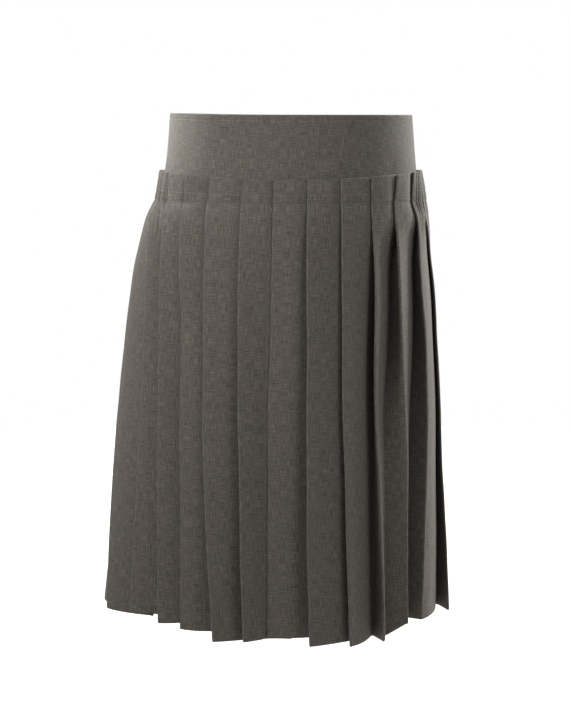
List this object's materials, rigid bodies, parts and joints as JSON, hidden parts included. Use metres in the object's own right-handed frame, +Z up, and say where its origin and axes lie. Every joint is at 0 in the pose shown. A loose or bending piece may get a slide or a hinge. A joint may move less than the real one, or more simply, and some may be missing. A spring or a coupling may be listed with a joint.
{
  "type": "pleated skirt on a hip yoke",
  "caption": "Knee-length knife-pleated skirt in dark grey wool, hung from a smooth hip yoke with a folded heading and a concealed back zip.",
  "frame": {"origin": "centre of the waist opening, in the plane of the waist edge, where the wearer's waist holds it", "axes": "+Z up along the body, -Y the front, +X the wearer's left"},
  "size_m": [0.3811, 0.2919, 0.545],
  "materials": {
    "wool_suiting": "matt dark warm grey melange wool suiting",
    "zip_tape": "flat woven polyester tape",
    "zip_metal": "satin enamel in the cloth's colour"
  },
  "bodies": {
    "skirt": {"yoke_front": "wool_suiting", "yoke_back_left": "wool_suiting", "yoke_back_right": "wool_suiting", "pleats_front": "wool_suiting", "pleats_back_left": "wool_suiting", "pleats_back_right": "wool_suiting", "zip_tape": "zip_tape", "zip_slider": "zip_metal"},
    "pull": {"zip_pull": "zip_metal"}
  },
  "joints": [
    {"name": "pull_swing", "type": "hinge", "parent": "skirt", "child": "pull", "pos_m": [-0.0005, 0.10154, -0.0095], "axis": [1, 0, 0], "range_deg": [0, 170]}
  ]
}
